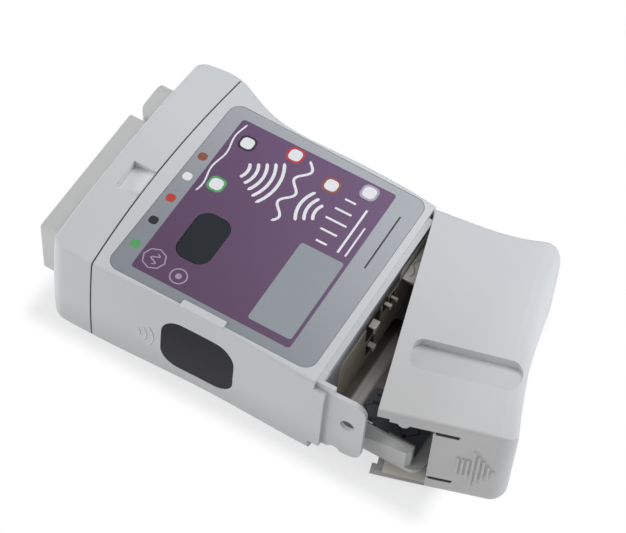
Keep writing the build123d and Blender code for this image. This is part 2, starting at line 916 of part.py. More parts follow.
def board_header():
    """Header that joins the two boards."""
    x0 = connector_board_x + board_thickness
    half = header_width / 2
    return span_box(x0, board_x0 + 3, ecg_y - half, ecg_y + half, board_z - header_height, board_z)


def cell_centres():
    """X of the two cells, which lie across the bay."""
    return (first_cell_x, first_cell_x + cell_diameter + slide_gap)


def bay_liner():
    """Dark back wall of the bay with a pad on the tray's floor."""
    floor_top = tray_floor_z + tray_floor_thickness
    x1 = liner_back_x + liner_thickness
    back = span_box(liner_back_x, x1, -near_half + 5, lip_far_y, floor_top, liner_top_z)
    pad_y = (bay_near_y, bay_far_y - retainer_leg)
    pad_z = (floor_top, floor_top + floor_pad_thickness)
    pad = span_box(liner_back_x, tray_end_x - 4, *pad_y, *pad_z)
    slot_x = (cradle_x - fit_gap, cradle_x + cradle_width + fit_gap)
    return back + (pad - span_box(*slot_x, *pad_y, *pad_z))


def battery_tray():
    """Light tray: floor, near rail with its facet, cradle rib."""
    floor_top = tray_floor_z + tray_floor_thickness
    near_y = bay_near_y - rail_thickness
    far_y = lip_far_y
    x0 = body_end_x - tray_root
    tray = rounded_box(x0, tray_end_x, near_y, far_y, tray_floor_z, floor_top, tray_corner_radius)
    rail_x = (liner_back_x + liner_thickness, rail_end_x)
    rail = span_box(*rail_x, near_y, bay_near_y, floor_top - 0.5, rail_top_z)
    rail = chamfer(rail.edges().filter_by(Axis.Z).group_by(Axis.X)[-1].sort_by(Axis.Y)[0], rail_end_chamfer)
    tray += rail
    x0 = liner_back_x
    x1 = rail_end_x + 1
    low = make_face(
        Polyline(
            (near_y - 1, rail_facet_start_z),
            (near_y - 1, rail_top_z + 1),
            (near_y + rail_facet_width, rail_top_z + 1),
            (near_y + rail_facet_width, rail_top_z),
            (near_y, rail_facet_start_z),
            close=True,
        )
    )
    high = make_face(
        Polyline(
            (near_y - 1, rail_facet_end_z),
            (near_y - 1, rail_top_z + 1),
            (near_y + rail_facet_width, rail_top_z + 1),
            (near_y + rail_facet_width, rail_top_z),
            (near_y, rail_facet_end_z),
            close=True,
        )
    )
    facet = loft([Plane.YZ.offset(x0) * low, Plane.YZ.offset(x1) * high])
    tray -= facet
    rib_y = (bay_near_y + 1, retainer_near_y)
    tray += span_box(cradle_x, cradle_x + cradle_width, *rib_y, floor_top - 0.5, bay_floor_z + cradle_rise)
    for x, y in tray_screw_places():
        tray += upright(x, y, floor_top - 0.5, floor_top + tray_boss_height, screw_head_radius)
        tray -= upright(x, y, tray_floor_z, floor_top + tray_boss_height - 1, screw_radius)
    return tray


def cell_retainer():
    """Light bridge over the cells' far ends, on a leg at the tray's far side."""
    near_low = retainer_near_y + retainer_slant
    underside_z = bay_floor_z + cell_diameter + retainer_gap
    leg_y = (bay_far_y - contact_thickness, bay_far_y - contact_thickness + retainer_leg)
    floor_z = tray_floor_z + tray_floor_thickness
    profile = make_face(
        Polyline(
            (retainer_near_y, retainer_top_z),
            (leg_y[1], retainer_top_z),
            (leg_y[1], floor_z),
            (leg_y[0], floor_z),
            (leg_y[0], underside_z),
            (near_low, underside_z),
            close=True,
        )
    )
    return extrude(Plane.YZ.offset(retainer_x0) * profile, retainer_x1 - retainer_x0)


def battery_leaf_springs():
    """Two bowed strips on the retainer's leg."""
    face_y = bay_far_y - contact_thickness
    z0 = bay_floor_z + 1
    z1 = z0 + spring_height
    middle = (z0 + z1) / 2
    springs = []
    for x in cell_centres():
        outer = ThreePointArc((face_y, z0), (face_y - spring_bow, middle), (face_y, z1))
        inner = ThreePointArc(
            (face_y, z1 - contact_thickness * 2),
            (face_y - spring_bow + contact_thickness, middle),
            (face_y, z0 + contact_thickness * 2),
        )
        ends = [Line(outer @ 1, inner @ 0), Line(inner @ 1, outer @ 0)]
        strip = make_face([outer, *ends, inner])
        springs.append(extrude(Plane.YZ.offset(x - contact_width / 2) * strip, contact_width))
    return springs


def battery_contact_plates():
    """Two flat plates on the rail's inner face."""
    z0 = bay_floor_z + 1
    y1 = bay_near_y + contact_thickness
    first, second = cell_centres()
    centres = (first, min(second, rail_end_x - contact_width / 2))
    half = contact_width / 2
    return [span_box(x - half, x + half, bay_near_y, y1, z0, z0 + plate_height) for x in centres]


def bay_contact_tabs():
    """Two wide and two narrow tabs on the bay's back wall."""
    x0 = liner_back_x + liner_thickness
    tabs = []
    for width, ys in ((wide_tab_width, wide_tab_ys), (narrow_tab_width, narrow_tab_ys)):
        for y in ys:
            z1 = contact_tab_z + width / 2
            tabs.append(span_box(x0, x0 + tab_length, y - width / 2, y + width / 2, z1 - tab_thickness, z1))
    return tabs


def hinge_pin():
    """Steel pin through the three knuckles."""
    return upright(hinge_x, hinge_y, knuckle_bottom_z, knuckle_top_z, hinge_pin_radius - 0.02)


def case_screws():
    """Six screws from behind, four for the rear cover and two for the tray."""
    screws = []
    for x, y in boss_places() + tray_screw_places():
        seat = screw_head_height + screw_head_sink
        shank = upright(x, y, seat, screw_length, screw_radius - 0.03)
        screws.append(shank + upright(x, y, screw_head_sink, seat, screw_head_radius))
    return screws


def cap_screws():
    """Two screws from behind through the connector cap."""
    screws = []
    for x, y in tongue_screw_places():
        seat = screw_head_height + screw_head_sink
        shank = upright(x, y, seat, tongue_bottom_z + insert_length - 1, screw_radius)
        screws.append(shank + upright(x, y, screw_head_sink, seat, screw_head_radius))
    return screws


def threaded_inserts():
    """Brass inserts in the bosses and tongues."""
    inserts = []
    for places, z0 in ((boss_places(), cover_height), (tongue_screw_places(), tongue_bottom_z)):
        for x, y in places:
            sleeve = upright(x, y, z0, z0 + insert_length, insert_radius)
            inserts.append(sleeve - upright(x, y, z0, z0 + insert_length, screw_radius + 0.02))
    return inserts


def grip_ribs():
    """The arrow of raised ribs beside the tab, drawn on the near side."""
    skin = case_loft(0, case_height, -grip_rib_rise, 0)
    ribs = []
    for index in range(grip_shaft_ribs + grip_head_ribs + 1):
        x = grip_first_x + index * grip_pitch
        head_step = index - grip_shaft_ribs
        taper = 1 - head_step / (grip_head_ribs + 0.5)
        height = grip_shaft_height if head_step < 0 else grip_head_height * taper
        half = height / 2
        bar = span_box(x, x + grip_rib_width, -past_case, -near_half + 2.5, grip_z - half, grip_z + half)
        ribs.append(bar & skin)
    return ribs


def scoop():
    """The finger scoop in the door's front, steep on its far side."""
    far_y = scoop_deep_y
    near_y = scoop_deep_y - scoop_width
    profile = make_face(
        Polyline(
            (far_y, case_height + 1),
            (far_y, case_height),
            (far_y - 0.4, case_height - scoop_depth),
            (near_y, case_height),
            (near_y, case_height + 1),
            close=True,
        )
    )
    wedge = extrude(Plane.YZ.offset(scoop_x) * profile, door_end_x)
    return wedge & rounded_box(scoop_x, scoop_end_x, near_y, far_y, 0, case_height + 2, scoop_tip_radius)


def door_hinge_cuts():
    """What the door gives way for the body's knuckle and for its own swing."""
    reach = hinge_inset_x - door_gap
    corner = span_box(body_end_x - 2, hinge_x, hinge_y, hinge_y + 9, -1, case_height + 1)
    corner -= upright(hinge_x, hinge_y, -2, case_height + 2, reach)
    middle = (knuckle_bottom_z + knuckle_top_z) / 2
    half = middle_knuckle_length / 2 + knuckle_end_gap
    side = knuckle_radius + 0.5
    gate_y = (hinge_y - side - 1, hinge_y + 9)
    gate = span_box(body_end_x - 2, hinge_x + side, *gate_y, middle - half, middle + half)
    return [corner, gate]


def door_knuckles():
    """The door's two knuckles, above and below the body's."""
    middle = (knuckle_bottom_z + knuckle_top_z) / 2
    half = middle_knuckle_length / 2 + knuckle_end_gap
    low = upright(hinge_x, hinge_y, knuckle_bottom_z, middle - half, knuckle_radius)
    return [low, upright(hinge_x, hinge_y, middle + half, knuckle_top_z, knuckle_radius)]


def tab_cuts():
    """The opening round the ear and the two slots that free the tab."""
    cut_end = ear_end_x + ear_clearance
    height = band_bottom_z - door_sill_z
    x0 = body_end_x - 2
    opening = Pos((x0 + cut_end) / 2, door_sill_z + height / 2) * Rectangle(cut_end - x0, height)
    corner_end = ear_step_x + ear_clearance
    corner_top = ear_shoulder_z + ear_clearance
    corner_height = corner_top - door_sill_z
    corner = Pos((x0 + corner_end) / 2, door_sill_z + corner_height / 2)
    opening += corner * Rectangle(corner_end - x0, corner_height)
    upper = Pos((cut_end + slot_end_x) / 2, band_bottom_z - slot_width / 2)
    lower = Pos((cut_end + slot_end_x) / 2, tab_bottom_z + slot_width / 2)
    slot = Rectangle(slot_end_x - cut_end + 1, slot_width)
    plan = opening + upper * slot + lower * slot
    nub = Pos(nub_x, band_bottom_z - nub_drop + nub_radius) * Circle(nub_radius)
    return side_prism(plan - nub, -past_case, -near_half + side_reach)


def battery_door(form, hollow):
    """Battery door: a deep cap with tab, ribs, scoop and hinge knuckles."""
    door = form & span_box(door_start_x, door_end_x + 20, -past_case, past_case, 0, case_height)
    door -= hollow
    near_y = scoop_deep_y - scoop_width
    backing_z = case_height - scoop_depth - scoop_backing
    backing_y = (near_y + 1, scoop_deep_y + scoop_backing)
    backing = span_box(scoop_x - 1, door_end_x - 1, *backing_y, backing_z, inner_front_z)
    door += backing
    door -= scoop()
    under = case_loft(0, case_height, lap_depth - lap_gap, 0)
    door -= under & front_lip(lap_gap, hinge_y - knuckle_radius)
    under = case_loft(0, case_height, band_lap_thickness, 0)
    door -= under & side_prism(ear_plate_plan(ear_clearance), -past_case, -near_half + side_reach)
    ledge_end = body_end_x + lip_length + lap_gap
    door -= span_box(body_end_x, ledge_end, -near_half + 3.6, hinge_y - knuckle_radius, -1, wall + 0.3)
    door -= tab_cuts()
    door += grip_ribs()
    slot_y = (end_slot_y - end_slot_length / 2, end_slot_y + end_slot_length / 2)
    slot_z = (end_slot_z, end_slot_z + end_slot_height)
    slot_x = door_end_at(end_slot_y) - end_slot_depth
    door -= span_box(slot_x, door_end_x + 9, *slot_y, *slot_z)
    door -= door_hinge_cuts()
    door += door_knuckles()
    door -= upright(hinge_x, hinge_y, -1, case_height + 1, hinge_pin_radius + hinge_running_gap) & span_box(
        hinge_x - 3, hinge_x + 3, hinge_y - 3, hinge_y + 3, knuckle_bottom_z, knuckle_top_z
    )
    return door.rotate(hinge_axis, door_open_angle)


def write(name, pieces):
    """Write one node, a single solid or a group of separate solids."""
    shapes = pieces if isinstance(pieces, list) else [pieces]
    solids = [solid for shape in shapes for solid in shape.solids()]
    export_step(Compound(solids) if len(solids) > 1 else solids[0], f"parts/{name}.step")


def main():
    os.makedirs("parts", exist_ok=True)
    form = case_form()
    hollow = case_hollow()
    write("main_housing", main_housing(form, hollow))
    write("rear_cover", rear_cover(form, hollow))
    write("end_cap_gasket", end_cap_gasket(hollow))
    write("connector_end_cap", connector_end_cap(form, hollow))
    write("ecg_receptacle", ecg_receptacle())
    write("ecg_contact_pins", ecg_contact_pins())
    write("spo2_receptacle", spo2_receptacle())
    write("spo2_contact_pins", spo2_contact_pins())
    write("front_label", front_label())
    write("patient_button", patient_button())
    write("button_switch", button_switch())
    write("infrared_window", infrared_window())
    write("infrared_emitter", infrared_emitter())
    write("main_circuit_board", main_circuit_board())
    write("board_screws", board_screws())
    write("rf_shield_can", rf_shield_can())
    write("connector_board", connector_board())
    write("board_header", board_header())
    write("bay_liner", bay_liner())
    write("battery_tray", battery_tray())
    write("cell_retainer", cell_retainer())
    write("battery_leaf_springs", battery_leaf_springs())
    write("battery_contact_plates", battery_contact_plates())
    write("bay_contact_tabs", bay_contact_tabs())
    write("hinge_pin", hinge_pin())
    write("case_screws", case_screws())
    write("cap_screws", cap_screws())
    write("threaded_inserts", threaded_inserts())
    write("battery_door", battery_door(form, hollow))


if __name__ == "__main__":
    main()
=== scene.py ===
import bpy
import math
from mathutils import Matrix, Vector


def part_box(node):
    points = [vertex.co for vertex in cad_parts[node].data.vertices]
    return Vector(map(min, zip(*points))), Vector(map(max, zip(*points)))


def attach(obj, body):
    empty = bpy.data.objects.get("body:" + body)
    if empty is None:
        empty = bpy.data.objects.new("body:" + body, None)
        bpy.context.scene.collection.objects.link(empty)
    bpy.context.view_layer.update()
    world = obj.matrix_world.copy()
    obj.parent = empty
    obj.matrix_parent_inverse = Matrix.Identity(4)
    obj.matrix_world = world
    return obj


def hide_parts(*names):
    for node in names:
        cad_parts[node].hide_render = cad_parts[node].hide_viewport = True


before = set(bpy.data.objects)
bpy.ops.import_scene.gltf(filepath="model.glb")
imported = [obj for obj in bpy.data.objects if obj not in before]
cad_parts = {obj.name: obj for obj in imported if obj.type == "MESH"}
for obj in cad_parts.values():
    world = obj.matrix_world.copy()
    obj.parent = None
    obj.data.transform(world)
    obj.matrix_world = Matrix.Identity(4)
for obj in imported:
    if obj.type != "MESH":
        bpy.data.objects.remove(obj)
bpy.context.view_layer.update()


# The view
# The transmitter lies on its rear and is seen from above its window side, a
# little turned. Azimuth, elevation and roll were worked out from its long edges.
MM = 0.001


def add_camera():
    """Looks along azimuth and elevation at the target, rolled a little."""
    azimuth, elevation, roll = (math.radians(angle) for angle in (26.397, 56.169, 4.733))
    target = Vector((8.1, -3.5, 35.0)) * MM
    distance = 619.3 * MM
    back = Vector((
        math.sin(azimuth) * math.cos(elevation),
        -math.cos(azimuth) * math.cos(elevation),
        math.sin(elevation),
    ))
    right = Vector((0, 0, 1)).cross(back).normalized()
    up = back.cross(right)
    turned_right = math.cos(roll) * right + math.sin(roll) * up
    turned_up = math.cos(roll) * up - math.sin(roll) * right
    camera = bpy.data.cameras.new("camera")
    camera.sensor_width = 36
    camera.lens = 131.75
    camera.clip_start = 10 * MM
    holder = bpy.data.objects.new("camera", camera)
    bpy.context.collection.objects.link(holder)
    turn = Matrix((turned_right, turned_up, back)).transposed()
    holder.matrix_world = Matrix.Translation(target + back * distance) @ turn.to_4x4()
    bpy.context.scene.camera = holder


add_camera()
bpy.context.scene.view_settings.view_transform = "Standard"


# Floor and light
# White paper under soft studio light: a wide lamp high behind the case, three
# lower ones to its left, near and right sides, and an even pale surrounding.
def new_material(name):
    """A material with its main shader, and its nodes and links at hand."""
    material = bpy.data.materials.new(name)
    material.use_nodes = True
    return material, material.node_tree.nodes, material.node_tree.links


def own_axes(nodes, links):
    """The piece's own X, Y and Z as three outputs."""
    place = nodes.new("ShaderNodeTexCoord")
    axes = nodes.new("ShaderNodeSeparateXYZ")
    links.new(place.outputs["Object"], axes.inputs[0])
    return axes.outputs


def maths(nodes, links, operation, *values):
    """One Math node; each value is a number or another node's output."""
    node = nodes.new("ShaderNodeMath")
    node.operation = operation
    for socket, value in zip(node.inputs, values):
        if isinstance(value, (int, float)):
            socket.default_value = value
        else:
            links.new(value, socket)
    return node.outputs[0]


def remap(nodes, links, value, to_min, to_max, from_min=0.0, from_max=1.0):
    """Stretches one range of a value to another."""
    node = nodes.new("ShaderNodeMapRange")
    node.inputs["From Min"].default_value = from_min
    node.inputs["From Max"].default_value = from_max
    node.inputs["To Min"].default_value = to_min
    node.inputs["To Max"].default_value = to_max
    links.new(value, node.inputs["Value"])
    return node.outputs["Result"]


def seen_rays(nodes, links):
    """1 for what the camera sees, straight, mirrored or through glass."""
    rays = nodes.new("ShaderNodeLightPath").outputs
    mirrored = maths(nodes, links, "MAXIMUM", rays["Is Glossy Ray"], rays["Is Transmission Ray"])
    return maths(nodes, links, "MAXIMUM", rays["Is Camera Ray"], mirrored)


def add_floor():
    """Paper that glows pure white to the camera, less so where the case shades it."""
    paper_size = 6.0
    case_halves = {"X": 60 * MM, "Y": 36 * MM}
    shade_reach = 7 * MM
    glow_at_case = 0.66
    bpy.ops.mesh.primitive_plane_add(size=paper_size, location=(0, 0, 0))
    floor = bpy.context.active_object
    floor.name = "floor"
    material, nodes, links = new_material("white_sweep")
    nodes.clear()
    paper = nodes.new("ShaderNodeBsdfDiffuse")
    paper.inputs["Color"].default_value = (0.86, 0.86, 0.87, 1)
    glow = nodes.new("ShaderNodeEmission")
    axes = own_axes(nodes, links)
    squares = []
    for axis, half in case_halves.items():
        away = maths(nodes, links, "ABSOLUTE", axes[axis])
        outside = maths(nodes, links, "MAXIMUM", maths(nodes, links, "SUBTRACT", away, half), 0.0)
        squares.append(maths(nodes, links, "POWER", outside, 2.0))
    distance = maths(nodes, links, "SQRT", maths(nodes, links, "ADD", *squares))
    fade = remap(nodes, links, distance, glow_at_case, 1.0, 0.0, shade_reach)
    fade.node.interpolation_type = "SMOOTHSTEP"
    mix = nodes.new("ShaderNodeMixShader")
    out = nodes.new("ShaderNodeOutputMaterial")
    links.new(maths(nodes, links, "MULTIPLY", seen_rays(nodes, links), fade), mix.inputs[0])
    links.new(paper.outputs[0], mix.inputs[1])
    links.new(glow.outputs[0], mix.inputs[2])
    links.new(mix.outputs[0], out.inputs["Surface"])
    floor.data.materials.append(material)


def add_lamp(name, place, size, power, colour):
    """A round area lamp in metres and watts, aimed at the origin."""
    lamp = bpy.data.lights.new(name, "AREA")
    lamp.shape = "DISK"
    lamp.size = size
    lamp.energy = power
    lamp.color = colour
    holder = bpy.data.objects.new(name, lamp)
    holder.location = place
    holder.rotation_euler = (-Vector(place)).to_track_quat("-Z", "Y").to_euler()
    bpy.context.collection.objects.link(holder)


def add_surrounding():
    """Faint light from all round; the camera sees a plain backdrop instead."""
    world = bpy.data.worlds.new("studio")
    bpy.context.scene.world = world
    world.use_nodes = True
    nodes = world.node_tree.nodes
    links = world.node_tree.links
    nodes.clear()
    surround = nodes.new("ShaderNodeBackground")
    surround.inputs["Color"].default_value = (0.96, 0.98, 1.0, 1)
    surround.inputs["Strength"].default_value = 0.32
    backdrop = nodes.new("ShaderNodeBackground")
    mix = nodes.new("ShaderNodeMixShader")
    out = nodes.new("ShaderNodeOutputWorld")
    rays = nodes.new("ShaderNodeLightPath")
    links.new(rays.outputs["Is Camera Ray"], mix.inputs[0])
    links.new(surround.outputs[0], mix.inputs[1])
    links.new(backdrop.outputs[0], mix.inputs[2])
    links.new(mix.outputs[0], out.inputs["Surface"])


add_floor()
add_lamp("overhead_lamp", (0.1, 0.32, 0.5), 0.45, 1.35, (0.97, 0.985, 1.0))
add_lamp("left_lamp", (-0.9, -0.3, 0.25), 0.5, 2.5, (1.0, 1.0, 1.0))
add_lamp("near_lamp", (-0.6, -0.75, 0.4), 0.5, 2.45, (1.0, 1.0, 1.0))
add_lamp("right_lamp", (0.7, 0.2, 0.35), 0.4, 2.3, (0.92, 0.96, 1.0))
add_surrounding()


# Case mouldings
# Front shell, rear cover, connector cap and battery door: pale grey moulded plastic with a fine spark
# texture. Painted shade makes the case a little greyer towards the near and low sides, and the door darker
# towards its near side.
def linear(red, green, blue):
    """A colour as a screen shows it, 0 to 255, in the shader's linear scale."""
    def channel(value):
        value /= 255
        return value / 12.92 if value <= 0.04045 else ((value + 0.055) / 1.055) ** 2.4
    return (channel(red), channel(green), channel(blue), 1.0)


def noise(nodes, links, scale, detail):
    """A cloudy texture that is fixed to the piece."""
    place = nodes.new("ShaderNodeTexCoord")
    texture = nodes.new("ShaderNodeTexNoise")
    texture.inputs["Scale"].default_value = scale
    texture.inputs["Detail"].default_value = detail
    links.new(place.outputs["Object"], texture.inputs["Vector"])
    return texture.outputs["Fac"]


def between(nodes, links, factor, first, second):
    """A colour that goes evenly from the first to the second."""
    node = nodes.new("ShaderNodeMix")
    node.data_type = "RGBA"
    node.inputs["A"].default_value = first
    node.inputs["B"].default_value = second
    links.new(factor, node.inputs["Factor"])
    return node.outputs["Result"]


def add_relief(nodes, links, height, strength, depth):
    """A fine relief on the main shader, its depth in millimetres."""
    bump = nodes.new("ShaderNodeBump")
    bump.inputs["Strength"].default_value = strength
    bump.inputs["Distance"].default_value = depth * MM
    links.new(height, bump.inputs["Height"])
    links.new(bump.outputs["Normal"], nodes["Principled BSDF"].inputs["Normal"])


def moulded_plastic(name, colour, roughness, grain, unevenness=0.04, gloss=0.4, cloud_scale=45):
    """Spark-textured plastic whose tone and sheen vary a little in clouds."""
    material, nodes, links = new_material(name)
    shader = nodes["Principled BSDF"]
    cloud = noise(nodes, links, cloud_scale, 4)
    darker = (*(part * (1 - unevenness) for part in colour[:3]), 1)
    lighter = (*(part * (1 + unevenness) for part in colour[:3]), 1)
    links.new(between(nodes, links, cloud, darker, lighter), shader.inputs["Base Color"])
    links.new(remap(nodes, links, cloud, roughness - 0.05, roughness + 0.07), shader.inputs["Roughness"])
    add_relief(nodes, links, noise(nodes, links, 2600, 2), grain, 0.08)
    shader.inputs["Specular IOR Level"].default_value = gloss
    return material


def dress(material, *names):
    """Gives CAD nodes a material."""
    for name in names:
        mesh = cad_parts[name].data
        mesh.materials.clear()
        mesh.materials.append(material)


def tone_along(material, axis, *stops):
    """Tints a plastic along an axis; a stop is a place and one or three factors."""
    nodes = material.node_tree.nodes
    links = material.node_tree.links
    base_colour = nodes["Principled BSDF"].inputs["Base Color"]
    plain = base_colour.links[0].from_socket
    first, last = stops[0][0], stops[-1][0]
    reach = remap(nodes, links, own_axes(nodes, links)[axis], 0.0, 1.0, first * MM, last * MM)
    ramp = nodes.new("ShaderNodeValToRGB")
    while len(ramp.color_ramp.elements) < len(stops):
        ramp.color_ramp.elements.new(0.5)
    for element, (place, *factors) in zip(ramp.color_ramp.elements, stops):
        element.position = (place - first) / (last - first)
        element.color = (*factors, 1) if len(factors) == 3 else (*(factors * 3), 1)
    links.new(reach, ramp.inputs["Fac"])
    tint = nodes.new("ShaderNodeMix")
    tint.data_type = "RGBA"
    tint.blend_type = "MULTIPLY"
    tint.inputs["Factor"].default_value = 1.0
    links.new(plain, tint.inputs["A"])
    links.new(ramp.outputs["Color"], tint.inputs["B"])
    links.new(tint.outputs["Result"], base_colour)


case_plastic = moulded_plastic("case_plastic", linear(217, 218, 219), 0.42, 0.25, 0.02)
# Painted shade: the case turns a little greyer towards its near side and its bottom.
tone_along(case_plastic, "Y", (-37, 0.93), (-20, 0.92), (24, 1), (44, 1))
tone_along(case_plastic, "Z", (0, 0.9), (8, 0.93), (14, 1), (36, 1))
dress(case_plastic, "main_housing", "rear_cover", "connector_end_cap")
# The door has a paler copy of the case plastic with painted shade on it: darker towards its near side,
# lighter at its free end.
shaded_door_plastic = moulded_plastic("shaded_door_plastic", linear(228, 229, 231), 0.42, 0.25, 0.02)
tone_along(
    shaded_door_plastic,
    "Y",
    (-37, 0.77, 0.75, 0.73),
    (-22, 0.78, 0.76, 0.74),
    (0, 0.835, 0.825, 0.815),
    (15, 0.88),
    (44, 0.91, 0.91, 0.92),
)
tone_along(shaded_door_plastic, "X", (28, 0.925, 0.925, 0.92), (54, 0.925), (66, 1), (80, 1))
dress(shaded_door_plastic, "battery_door")


# Sockets and seam
# The lead block and the small round socket are a shade darker grey mouldings
# pushed through the cap, with gilt pins. A dark seal lies just below the seam's edges.
def plated_metal(name, colour, roughness):
    """Metal whose sheen is a little uneven."""
    material, nodes, links = new_material(name)
    shader = nodes["Principled BSDF"]
    shader.inputs["Base Color"].default_value = colour
    shader.inputs["Metallic"].default_value = 1.0
    wear = noise(nodes, links, 700, 2)
    links.new(remap(nodes, links, wear, roughness - 0.06, roughness + 0.1), shader.inputs["Roughness"])
    return material


socket_plastic = moulded_plastic("socket_plastic", linear(210, 210, 208), 0.38, 0.2, 0.02)
dress(socket_plastic, "ecg_receptacle", "spo2_receptacle")
seal_rubber = moulded_plastic("seal_rubber", linear(84, 78, 74), 0.75, 0.3)
dress(seal_rubber, "end_cap_gasket")
dress(plated_metal("gold_plate", linear(214, 178, 98), 0.25), "ecg_contact_pins", "spo2_contact_pins")


# Front label
# A printed polyester film in a shallow recess: grey-blue border, purple field,
# pale writing patch. Each print is a thin layer of ink on the film.
INK_LAYER = 0.012 * MM
film_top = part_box("front_label")[1].z


def ink(name, colour, far_lit_colour=None, roughness=0.36):
    """Satin print; a far lit colour is what it turns into towards the far right, as painted light."""
    material, nodes, links = new_material(name)
    shader = nodes["Principled BSDF"]
    axes = own_axes(nodes, links)
    far_right = maths(nodes, links, "ADD", axes["Y"], maths(nodes, links, "MULTIPLY", axes["X"], 0.35))
    light_sweep = remap(nodes, links, far_right, 0.0, 1.0, -30 * MM, 30 * MM)
    dots = noise(nodes, links, 1400, 3)
    mottled = nodes.new("ShaderNodeVectorMath")
    mottled.operation = "SCALE"
    links.new(between(nodes, links, light_sweep, colour, far_lit_colour or colour), mottled.inputs[0])
    links.new(remap(nodes, links, dots, 0.94, 1.06), mottled.inputs["Scale"])
    links.new(mottled.outputs[0], shader.inputs["Base Color"])
    add_relief(nodes, links, dots, 0.08, 0.03)
    shader.inputs["Roughness"].default_value = roughness
    return material


def select_only(piece):
    bpy.ops.object.select_all(action="DESELECT")
    piece.select_set(True)
    bpy.context.view_layer.objects.active = piece


def settle(piece, material, body="case"):
    """Applies a finished piece's place and gives it finish and body."""
    select_only(piece)
    bpy.ops.object.transform_apply(location=True, rotation=True, scale=True)
    piece.data.materials.clear()
    piece.data.materials.append(material)
    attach(piece, body)
    return piece


def rounded_plate(name, x_limits, y_limits, corner, z0, z1):
    """A plate with rounded corners, in millimetres but for its two heights."""
    centre = Vector((sum(x_limits), sum(y_limits), 0)) * MM / 2
    bpy.ops.mesh.primitive_plane_add(size=1, location=(centre.x, centre.y, z0))
    piece = bpy.context.active_object
    piece.name = name
    piece.scale = ((x_limits[1] - x_limits[0]) * MM, (y_limits[1] - y_limits[0]) * MM, 1)
    bpy.ops.object.transform_apply(location=False, rotation=False, scale=True)
    bpy.ops.object.mode_set(mode="EDIT")
    bpy.ops.mesh.select_all(action="SELECT")
    bpy.ops.mesh.bevel(affect="VERTICES", offset=corner * MM, offset_type="OFFSET", segments=8)
    bpy.ops.mesh.extrude_region_move(TRANSFORM_OT_translate={"value": (0, 0, z1 - z0)})
    bpy.ops.mesh.select_all(action="SELECT")
    bpy.ops.mesh.normals_make_consistent(inside=False)
    bpy.ops.object.mode_set(mode="OBJECT")
    return piece


def cut_out(piece, cutter):
    """Cuts one closed mesh from another and clears the cutter away."""
    select_only(piece)
    opening = piece.modifiers.new("opening", "BOOLEAN")
    opening.object = cutter
    opening.solver = "EXACT"
    bpy.ops.object.modifier_apply(modifier=opening.name)
    select_only(cutter)
    bpy.ops.object.delete()


def printed_panel(name, x_limits, y_limits, corner, layer, material):
    """A rounded rectangle of ink on the label."""
    piece = rounded_plate(name, x_limits, y_limits, corner, film_top, film_top + layer * INK_LAYER)
    return settle(piece, material)


# The grey film and the purple field turn lighter towards the far right: painted light.
film_grey = ink("film_grey", linear(142, 145, 152), linear(178, 181, 186))
dress(film_grey, "front_label")
purple_ink = ink("purple_ink", linear(95, 67, 98), linear(109, 79, 118))
purple_field = printed_panel("purple_field", (-33.8, 15.9), (-29.3, 29.3), 1.0, 1, purple_ink)
button_gap = 0.02
button_opening = rounded_plate(
    "button_opening",
    x_limits=(-27.15 - button_gap, -16.45 + button_gap),
    y_limits=(-19.8 - button_gap, -3.0 + button_gap),
    corner=3.9 + button_gap,
    z0=film_top - MM,
    z1=film_top + MM,
)
cut_out(purple_field, button_opening)
patch_ink = ink("patch_ink", linear(150, 156, 161))
printed_panel("writing_patch", (1.4, 14.9), (-26.8, 1.8), 0.9, 2, patch_ink)


# Lead colours and pads
# Five dots on the label's left border in the colours of the electrode leads, and
# five white pads on the field, rimmed in those colours and grey for the white lead.
def printed_square(name, centre, half, corner, layer, material):
    """A rounded square of ink about its centre."""
    x, y = centre
    printed_panel(name, (x - half, x + half), (y - half, y + half), corner, layer, material)


white_ink = ink("white_ink", linear(240, 240, 244))
lead_inks = {
    "green": ink("green_ink", linear(86, 170, 96)),
    "black": ink("black_ink", linear(38, 40, 46)),
    "red": ink("red_ink", linear(196, 60, 56)),
    "white": white_ink,
    "brown": ink("brown_ink", linear(150, 84, 62)),
}
dot_x = -36.6
dot_half = 1.35
for (lead, lead_ink), dot_y in zip(lead_inks.items(), (-22.5, -13.4, -4.6, 4.0, 12.0)):
    printed_square(f"{lead}_dot", (dot_x, dot_y), dot_half, 1.1, 2, lead_ink)
pad_half = 1.9
pad_rim = 0.65
rim_inks = dict(lead_inks, white=ink("grey_ink", linear(176, 172, 182)))
pad_places = {
    "green": (-28.4, 6.0),
    "black": (-28.4, 22.6),
    "red": (-14.9, 26.2),
    "brown": (-1.2, 22.6),
    "white": (9.0, 26.0),
}
for lead, place in pad_places.items():
    printed_square(f"{lead}_pad_rim", place, pad_half + pad_rim, 1.8, 2, rim_inks[lead])
    printed_square(f"{lead}_pad", place, pad_half, 1.4, 3, white_ink)


# Waves, rules and signs
# Plain print that fills the purple field: widening arcs with a wave between
# them, level bars and rules, and two small mauve signs near the button.
def drawn_tube(name, points, radius, resolution, closed=False, ends=1.0):
    """A round tube through points in metres, narrowed at its ends to a share."""
    bpy.ops.curve.primitive_nurbs_path_add(location=(0, 0, 0))
    tube = bpy.context.active_object
    tube.name = name
    curve = tube.data
    curve.splines.clear()
    spline = curve.splines.new("POLY")
    spline.points.add(len(points) - 1)
    for point, place in zip(spline.points, points):
        point.co = (*place, 1)
        point.radius = 1.0
    if not closed:
        spline.points[0].radius = ends
        spline.points[-1].radius = ends
    spline.use_cyclic_u = closed
    curve.bevel_depth = radius
    curve.bevel_resolution = resolution
    curve.use_fill_caps = True
    bpy.ops.object.convert(target="MESH")
    return bpy.context.active_object


def printed_line(
    name, points, width, material, layer=2, closed=False, ends=1.0, level=film_top
):
    """A line of ink through points in millimetres, pressed flat on a level in metres."""
    radius = width * MM / 2
    line = drawn_tube(name, [(x * MM, y * MM, 0) for x, y in points], radius, 3, closed, ends)
    line.location = (0, 0, level)
    line.scale = (1, 1, layer * INK_LAYER / radius)
    return settle(line, material)


